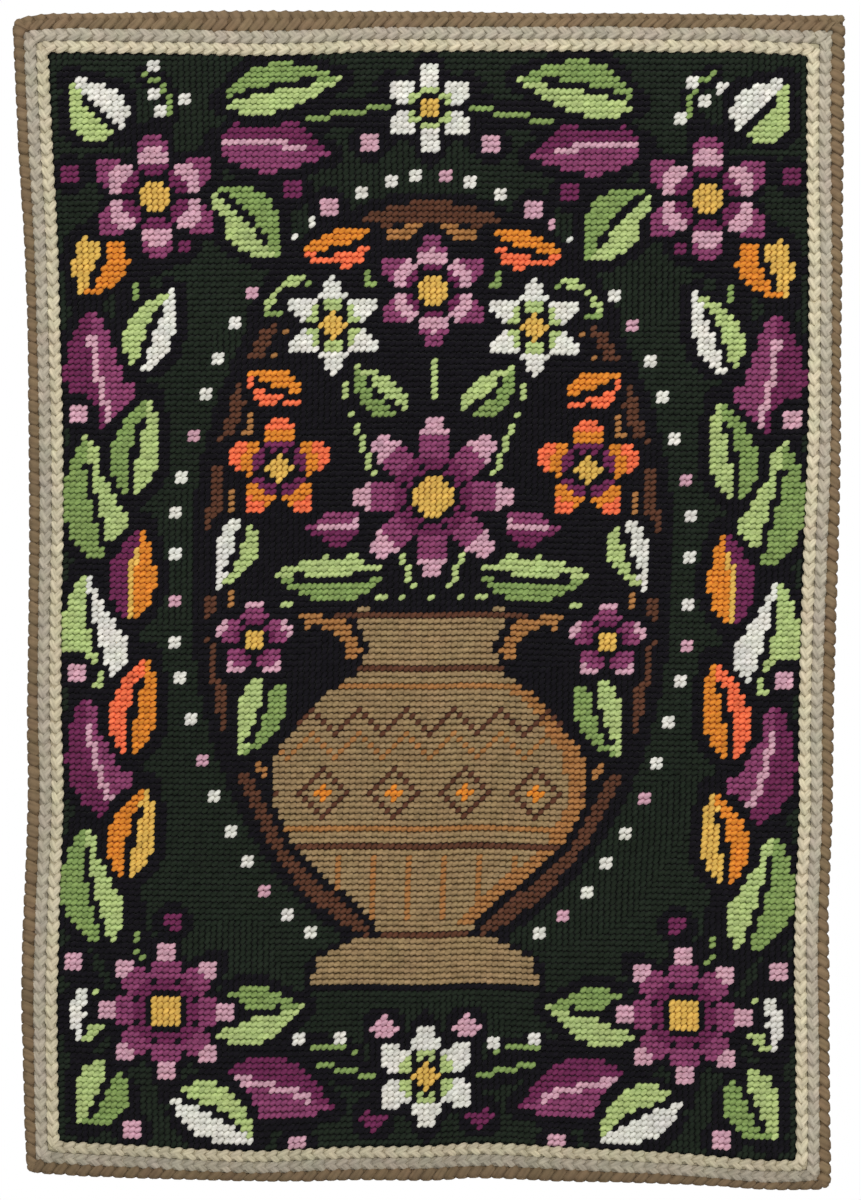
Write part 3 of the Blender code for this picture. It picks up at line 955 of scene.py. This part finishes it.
def makeStitches():
    frontShape = stitchShape(
        "stitch", stitch["halfLength"], stitch["halfWidth"], stitch["halfHeight"], stitch["dip"],
    )
    backShape = stitchShape(
        "backStitch", stitch["backHalfLength"], stitch["backHalfWidth"], -stitch["backHalfHeight"],
        -stitch["backDip"],
    )
    gridX, gridDown = np.meshgrid(
        field["left"] + (np.arange(chartSize["across"]) + 0.5) * pitch[0],
        field["top"] + (np.arange(chartSize["down"]) + 0.5) * pitch[1],
    )
    x = gridX + stitch["drift"] * bentWave(gridDown, gridX, *stitch["driftAcross"])
    below = gridDown + stitch["drift"] * bentWave(gridX, gridDown, *stitch["driftDown"])
    x = x + random.normal(0, stitch["placeSpread"], x.shape)
    below = below + random.normal(0, stitch["placeSpread"], x.shape)
    # patches of the ground and the outlines are worked in columns
    slopeDown, slopeAcross = stitch["patchSlope"]
    patch = bentWave(gridX, gridDown, *stitch["patchWave"])
    patch = patch * np.cos(gridDown / slopeDown + gridX / slopeAcross) > stitch["patchFrom"]
    slant = np.where(patch, stitch["columnSlant"], stitch["rowSlant"])
    for name, angle in slants.items():
        slant = np.where(chart == chartWools.index(name), angle, slant)
    slant = slant + random.normal(0, stitch["slantSpread"], x.shape)
    size = 1 + random.normal(0, stitch["sizeSpread"], x.shape)
    for name, factor in plumpness.items():
        size = np.where(chart == chartWools.index(name), size * factor, size)
    tone = 1 + random.normal(0, stitch["toneSpread"], x.shape)
    tone = tone * (1 + stitch["rowTone"] * bentWave(gridDown, gridX, *stitch["rowToneWave"]))
    made = []
    for number, name in enumerate(chartWools):
        chosen = chart == number
        if not chosen.any():
            continue
        count = int(chosen.sum())
        cells = math.ceil(math.sqrt(count))
        places = x[chosen], below[chosen], slant[chosen], size[chosen], stitch["lift"]
        points = stitchPoints(frontShape, *places)
        front = strandPart(frontShape, points, tone[chosen], stitch["plyLength"], 0, cells)
        made.append(makeMesh("stitches_" + name, [front], woolMaterials[name]))
        behind = stitch["backSlant"] + random.normal(0, stitch["backSlantSpread"], count)
        places = x[chosen] - stitch["backShift"], below[chosen], behind, size[chosen], stitch["backLift"]
        points = stitchPoints(backShape, *places)
        tones = stitch["backTone"] * tone[chosen]
        back = strandPart(backShape, points, tones, stitch["backPlyLength"], 0, cells)
        made.append(makeMesh("back_" + name, [back], woolMaterials[name]))
    return made


stitches = makeStitches()
print("stitches ready", len(stitches))

# plaited bands and the binding
plait = {
    "repeat": 7.3,
    "lift": 4.95,  # depth of the strands' middle
    "reach": 4.6,  # along the band, from a leg's middle to its ends
    "lag": 1.2,  # of the inner row behind the outer one
    "edge": 3.60,  # across the band, from its middle to where a leg comes up
    "overlap": 1.3,  # past the middle, where it dives under the other row
    "halfWidth": 2.05,
    "halfHeight": {"cream": 1.05, "greige": 0.90},
    "bed": {"cream": 0.0, "greige": 0.25},  # how far the strands bed into the wool under them
    "crownFloor": {"cream": 0.46, "greige": 0.62},  # less painted shade at the sides, as thick wool packed close has shallow grooves
    "edgeReach": 3.75,  # past this the neighbouring stitches press the legs back
    "edgeGive": 0.4,
    "plyLength": 0.8,
    "stretchSpread": 0.05,
    "legSpread": 0.22,  # along the band
    "armSpread": 0.20,
    "asideSpread": 0.04,
    "depthSpread": 0.08,
    "toneSpread": 0.05,
    # painted light by side, clockwise from the top: the bottom band in shade, the right one lit a little
    # more
    "sideLight": (0.98, 1.03, 0.82, 0.94),
    "strip": (3.9, 4.5, 4.8, 4.4),  # wool under the strands: depth of foot, outer line, middle, inner line
    "outerRim": 0.15,  # how far inside its lines the strip ends
    "innerRim": {"cream": -0.7, "greige": -0.15},
    "backShift": 1.8,  # two bars to a repeat
    "backDepth": 1.55,
    "backTone": 0.95,
    "backPlyLength": 1.4,
}
legRows = (  # share of a leg's length, share across, lift, then half width and half height as shares
    (0.00, 0.03, -1.20, 0.60, 0.5), (0.17, 0.12, -0.30, 0.95, 0.9), (0.33, 0.29, 0.15, 1.05, 1.0),
    (0.50, 0.51, 0.25, 1.08, 1.0), (0.67, 0.73, 0.15, 1.05, 1.0), (0.83, 0.89, -0.25, 1.00, 0.9),
    (1.00, 1.00, -1.20, 0.70, 0.6),
)
shortArm = (  # the arm that crosses under the legs and fills between their tips at both edges
    (0.0, -0.95, -3.95, -0.60, 1.5, 0.7), (0.2, -0.75, -3.10, -0.20, 1.9, 0.9),
    (0.5, -0.35, 0.00, -1.00, 1.8, 0.9), (0.8, 0.05, 3.10, -0.20, 1.9, 0.9),
    (1.0, 0.25, 3.95, -0.60, 1.5, 0.7),
)
bindingRows = (  # the same for the binding's fuller legs
    (0.00, 0.00, -1.30, 0.80, 0.7), (0.14, 0.14, -0.45, 1.00, 1.0), (0.29, 0.29, 0.10, 1.00, 1.0),
    (0.71, 0.71, 0.15, 1.00, 1.0), (0.86, 0.86, -0.05, 1.00, 1.0), (1.00, 1.00, -0.90, 0.80, 0.7),
)
binding = {
    "middle": (4.9, 6.6, 6.4, 6.6),  # from its inner edge, by side
    "lean": (53.0, 38.0, 44.0, 33.0),  # degrees from straight across
    "backLean": 28.0,
    "start": -1.5,  # of the front legs, past its inner edge
    "backStart": 0.6,  # of the legs that come round the nose, short of its edge on the back
    "overlap": 1.6,
    "fullness": (0.57, 0.55, 0.57, 0.59),  # half width of a leg as a share of the room it has
    "outerFullness": (0.60, 0.50, 0.56, 0.57),
    "halfHeight": (0.85, 1.35, 1.1, 1.15),
    "crownFloor": 0.55,
    "plyLength": 0.6,
    "alongSpread": 0.25,
    "liftSpread": 0.10,
    "cornerHalfWidth": 2.4,
    "cornerHalfHeight": 1.2,
    "cornerMargin": 0.8,  # past both edges
    "cornerPlyLength": 1.6,
    "cornerRows": (  # share along, lift, half width as a share
        (0.0, -1.0, 0.3), (0.1, -0.1, 0.7), (0.35, 0.25, 1.1), (0.65, 0.25, 1.1), (0.9, -0.1, 0.7),
        (1.0, -1.0, 0.3),
    ),
    "strip": (  # line, inside it, depth, all round the wool under the legs
        (0, 0.8, 2.9), (0, 1.1, 4.3), (0, 2.1, 4.9), (0.6, 0.0, 5.0), (1, -0.15, 4.6), (1, -0.15, 3.9),
        (0, 3.1, 3.9), (0, 2.3, 2.65), (0, 3.1, 1.4), (1, -0.15, 1.4), (1, -0.3, 0.9), (0.6, 0.0, 0.9),
        (0, 2.1, 0.9), (0, 1.1, 1.5),
    ),
}
backBar = (
    (0.0, 0, -3.3, -0.4, 0.7, 0.4), (0.3, 0, -2.2, 0, 1.3, 0.6), (0.7, 0, 2.2, 0, 1.3, 0.6),
    (1.0, 0, 3.3, -0.4, 0.7, 0.4),
)
nose = {  # where the binding goes round the folded edge
    "reach": 1.7,  # it starts to turn this far in from the outline
    "edge": 0.75,  # its strands' middles stay this far in
    "front": 4.95,  # depths of their middles
    "back": 0.95,
    "wrap": 6.0,  # room over the surface for the turn itself
}
stations = {"corner": 6.0, "cells": 44}  # mm of finer steps beside a corner, and steps between two
underWool = {"tone": 0.95, "crown": 0.65}  # painted shade on the wool under the strands, which shows only between them
strandRoom, stripRoom = 0.90, (0.0, 0.93, 1.0, 0.06)  # of the bake map


def liftedCrown(shape, floor):
    # raises the crown, so the strand takes less painted shade at its sides
    return shape._replace(crown=floor + (1 - floor) * shape.crown)


def legShape(profile, start, end, halfWidth, halfHeight, crownFloor):
    # a leg from one place along and across to another; it comes up, lies over the cloth and dives
    rows = []
    for share, acrossShare, lift, wide, high in profile:
        along = start[0] + (end[0] - start[0]) * share
        aside = start[1] + (end[1] - start[1]) * acrossShare
        rows.append((share, along, aside, lift, wide * halfWidth, high * halfHeight))
    return liftedCrown(strandShape(rows, "leg"), crownFloor)


def sideLength(side, line):
    inset = ringInsets(line, 0.0)
    return (cloth["width"], cloth["height"])[side % 2] - inset[side - 1] - inset[(side + 1) % 4]


def stationTurns(line):
    turns = []
    for side in range(4):
        near = stations["corner"] / sideLength(side, line)
        turns.extend((side, side + near / 2))
        turns.extend(side + np.linspace(near, 1 - near, stations["cells"]))
        turns.append(side + 1 - near / 2)
    return np.array(turns)


def bandPoints(outerLine, innerLine, side, along, aside, depth, flip):
    # a place on a band: along it from the side's start, and aside from its middle, to the right of travel
    middleLine = (outerLine + innerLine) / 2
    pressed = np.minimum(np.abs(aside), plait["edgeReach"])
    aside = np.sign(aside) * (pressed + (np.abs(aside) - pressed) * plait["edgeGive"])
    if flip:
        along, aside = sideLength(side, middleLine) - along, -aside
    line = middleLine + (innerLine - outerLine) * aside / plait["repeat"]
    inside = (line - np.clip(line, outerLine, innerLine)) * plait["repeat"]
    line = np.clip(line, outerLine, innerLine)
    x, below = ringPoint(ringTurn(side, along, line, inside, middleLine), line, inside)
    return clothPoint(x, below, depth)


def bindingPoints(side, along, over, lift, middleLine, overlap=mitreOverlap):
    # over is the distance across the binding's surface: its front, its nose, then its back
    width = bandEdges[side, 1]
    flat = width - nose["reach"]
    bow = (nose["front"] - nose["back"]) / 2
    depthReach = nose["reach"] - nose["edge"]
    arc = math.pi * math.sqrt((bow * bow + depthReach * depthReach) / 2)
    angle = np.clip((over - flat) / arc, 0, 1) * math.pi
    reach = np.where(over < flat, width - over, nose["reach"] - (depthReach + lift) * np.sin(angle))
    reach = np.where(over > flat + arc, nose["reach"] + over - flat - arc, reach)
    middle = (nose["front"] + nose["back"]) / 2
    depth = middle + (bow + lift) * np.cos(angle)
    line = np.zeros(reach.shape)
    x, below = ringPoint(ringTurn(side, along, line, reach, middleLine, overlap), line, reach)
    return clothPoint(x, below, depth)


def sideRepeats(line, side, before=0):
    # where the repeats of a side lie, with more of them where they reach back into its first corner
    length = sideLength(side, line)
    count = round(length / plait["repeat"])
    return ((np.arange(-before, count) + 0.5) * length / count)[:, None]


def spread(amount, count):
    return random.normal(0, amount, (count, 1))


def plaitTones(count, side):
    # a random tone for each strand, times its side's painted light
    return plait["sideLight"][side] * (1 + random.normal(0, plait["toneSpread"], count))


def makeBand(name, node, outerLine, innerLine, wool):
    middleLine = (outerLine + innerLine) / 2
    reach, edge, overlap = plait["reach"], plait["edge"], plait["overlap"]
    crownFloor = plait["crownFloor"][wool]
    arm = liftedCrown(strandShape(shortArm, "arm"), crownFloor)
    bar = strandShape(backBar, "bar")
    fronts = []
    for way, shift in ((-1, 0.0), (1, plait["lag"])):
        leg = legShape(
            legRows, (shift - reach, way * edge), (shift + reach, -way * overlap),
            plait["halfWidth"], plait["halfHeight"][wool], crownFloor,
        )
        fronts.append((leg, plait["legSpread"], plait["stretchSpread"]))
    fronts.append((arm, plait["armSpread"], 0.0))
    strands = []
    for side, title in enumerate(sideNames):
        repeats = sideRepeats(middleLine, side)
        count = len(repeats)
        for shape, alongSpread, stretchSpread in fronts:
            stretch = 1 + spread(stretchSpread, count) if stretchSpread else 1.0
            along = repeats + spread(alongSpread, count) + shape.along[None] * stretch
            aside = shape.across[None] * (1 + spread(plait["asideSpread"], count))
            depth = plait["lift"] + shape.lift[None] + spread(plait["depthSpread"], count)
            points = bandPoints(outerLine, innerLine, side, along, aside, depth, title == "left")
            strands.append((shape, points, plaitTones(count, side), plait["plyLength"]))
        for shift in (-plait["backShift"], plait["backShift"]):
            along = repeats + shift + bar.along[None]
            aside = np.broadcast_to(bar.across[None], along.shape)
            depth = plait["backDepth"] - bar.lift[None]
            points = bandPoints(outerLine, innerLine, side, along, aside, depth, False)
            tones = plait["backTone"] * plaitTones(count, side)
            strands.append((bar, points, tones, plait["backPlyLength"]))
    bed, outerRim, innerRim = plait["bed"][wool], plait["outerRim"], plait["innerRim"][wool]
    foot, outerTop, middleTop, innerTop = plait["strip"]
    section = (
        (outerLine, outerRim, foot), (outerLine, outerRim, outerTop + bed),
        (middleLine, 0.0, middleTop + bed), (innerLine, innerRim, innerTop + bed),
        (innerLine, innerRim, foot),
    )
    return joinStrands(name, node, strands, section, middleLine, wool)


def makeBinding():
    strands = []
    middleLine = 0.5
    floor, size, margin = binding["crownFloor"], binding["cornerHalfWidth"], binding["cornerMargin"]
    for side in range(4):
        middle, high = binding["middle"][side], binding["halfHeight"][side]
        total = 2 * (bandEdges[side, 1] - nose["reach"]) + nose["wrap"]
        overlap, lean, backLean = binding["overlap"], binding["lean"][side], binding["backLean"]
        legs = (  # where each row of legs starts and ends over the surface, lean, fullness, more before
            (binding["start"], middle + overlap, lean, binding["fullness"][side], 1),
            (total - binding["backStart"], middle - overlap, backLean, binding["outerFullness"][side], 0),
        )
        for start, end, degrees, fullness, before in legs:
            slope = math.radians(degrees)
            repeats = sideRepeats(middleLine, side, before)
            count = len(repeats)
            reach = abs(end - start) * math.tan(slope) / 2
            half = plait["repeat"] * math.cos(slope) * fullness
            shape = legShape(bindingRows, (-reach, start), (reach, end), half, high, floor)
            along = repeats + spread(binding["alongSpread"], count) + shape.along[None]
            over = np.broadcast_to(shape.across[None], along.shape)
            lift = shape.lift[None] + spread(binding["liftSpread"], count)
            points = bindingPoints(side, along, over, lift, middleLine)
            strands.append((shape, points, plaitTones(count, side), binding["plyLength"]))
        # one more strand along the mitre covers the corner, front and back
        thick = binding["cornerHalfHeight"]
        rows = [
            (share, 0.0, share * (total + 2 * margin) - margin, lift, wide * size, thick)
            for share, lift, wide in binding["cornerRows"]
        ]
        shape = liftedCrown(strandShape(rows, "corner"), floor)
        along, over, lift = shape.along[None], shape.across[None], shape.lift[None]
        points = bindingPoints(side, along, over, lift, None, 2 * size)
        strands.append((shape, points, plaitTones(1, side), binding["cornerPlyLength"]))
    return joinStrands("binding_plait", "binding", strands, binding["strip"], middleLine, "taupe")


def joinStrands(name, node, strands, section, line, wool):
    # the strands and the strip of wool under them, as one piece in place of the CAD node
    total = sum(len(points) for _, points, _, _ in strands)
    cells = math.ceil(math.sqrt(total / strandRoom))
    parts, first = [], 0
    for shape, points, tone, plyLength in strands:
        parts.append(strandPart(shape, points, tone, plyLength, first, cells))
        first += len(points)
    strip = np.array(ringLoops((*section, section[0]), stationTurns(line)))
    parts.append(gridPart(strip, True, bakeRoom=stripRoom, **underWool))
    item = makeMesh(name, parts, woolMaterials[wool])
    mergeDoubles(item, distance=1e-7)
    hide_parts(node)
    return item


creamPlait = makeBand("cream_plait", "band_cream", 2, 3, "cream")
greigePlait = makeBand("greige_plait", "band_greige", 1, 2, "greige")
bindingPlait = makeBinding()
print("bands ready")

# the bands by their wool; every piece hangs from the root body, and the CAD canvas is hidden
bands = {"cream_wool": creamPlait, "greige_wool": greigePlait, "taupe_wool": bindingPlait}
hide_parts("canvas")
for item in (canvasCloth, *stitches, *bands.values()):
    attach(item, "root")

# floor, light and camera, all in metres
room = {
    "floorLevel": -1.1,
    "floorSize": 3.0,
    "floorThickness": 0.02,
    "floorColour": "#f1f0ee",
    "floorRoughness": 0.9,
    "wallLight": 0.66,
    "lights": {"key": ((-0.5, -1.8, 1.3), 30.0), "fill": ((1.2, -1.9, 0.5), 15.0)},  # place, watts
    "lightSize": 1.8,
    "aim": (0.0, 0.0, -0.36),
    "distance": 1.740,
    "lens": 85.0,  # millimetres, as the sensor
    "sensor": 36.0,
    "middle": (0.0012, -0.361),  # across and up, straight in front of the camera
}


def makeFloor():
    # matt painted board: the eye sees an even pale surface
    material, tree, shader = startMaterial("floor_board")
    colour = (*linear(room["floorColour"]), 1.0)
    joinInputs(tree, shader, {"Base Color": colour, "Roughness": room["floorRoughness"]})
    size, thickness = room["floorSize"], room["floorThickness"]
    bm = bmesh.new()
    bmesh.ops.create_cube(bm, size=1.0)
    bmesh.ops.scale(bm, vec=(size, size, thickness), verts=bm.verts)
    bmesh.ops.translate(bm, vec=(0.0, 0.0, room["floorLevel"] - thickness / 2), verts=bm.verts)
    mesh = bpy.data.meshes.new("floor")
    bm.to_mesh(mesh)
    bm.free()
    mesh.materials.append(material)
    addObject("floor", mesh)


def makeLight(name, place, power):
    lamp = bpy.data.lights.new(name, "AREA")
    lamp.shape = "SQUARE"
    lamp.size = room["lightSize"]
    lamp.energy = power
    item = addObject(name, lamp)
    item.location = place
    x, y, z = np.array(room["aim"]) - place
    item.rotation_euler = (math.atan2(math.hypot(x, y), -z), 0.0, math.atan2(-x, y))


def makeWorld():
    # even white surroundings: full white behind the hanging, softer as a light
    world = bpy.data.worlds.new("white_room")
    bpy.context.scene.world = world
    world.use_nodes = True
    tree = world.node_tree
    path = addNode(tree, "LightPath")
    strength = addNode(tree, "MapRange", {
        "Value": path.outputs["Is Camera Ray"], "To Min": room["wallLight"], "To Max": 1.0,
    })
    joinInputs(tree, tree.nodes["Background"], {"Color": (1.0, 1.0, 1.0, 1.0), "Strength": strength})


def makeCamera():
    lens = bpy.data.cameras.new("camera")
    lens.lens = room["lens"]
    lens.sensor_fit = "VERTICAL"
    lens.sensor_height = room["sensor"]
    lens.sensor_width = room["sensor"]
    item = addObject("camera", lens)
    item.location = (room["middle"][0], -room["distance"], room["middle"][1])
    item.rotation_euler = (math.pi / 2, 0.0, 0.0)
    bpy.context.scene.camera = item


makeFloor()
makeWorld()
for name, (place, power) in room["lights"].items():
    makeLight(name, place, power)
makeCamera()
bpy.context.scene.view_settings.view_transform = "Standard"
print("stage ready")

triangles = 0
for item in (canvasCloth, *stitches, *bands.values()):
    triangles += sum(len(polygon.vertices) - 2 for polygon in item.data.polygons)
print("triangles", triangles)
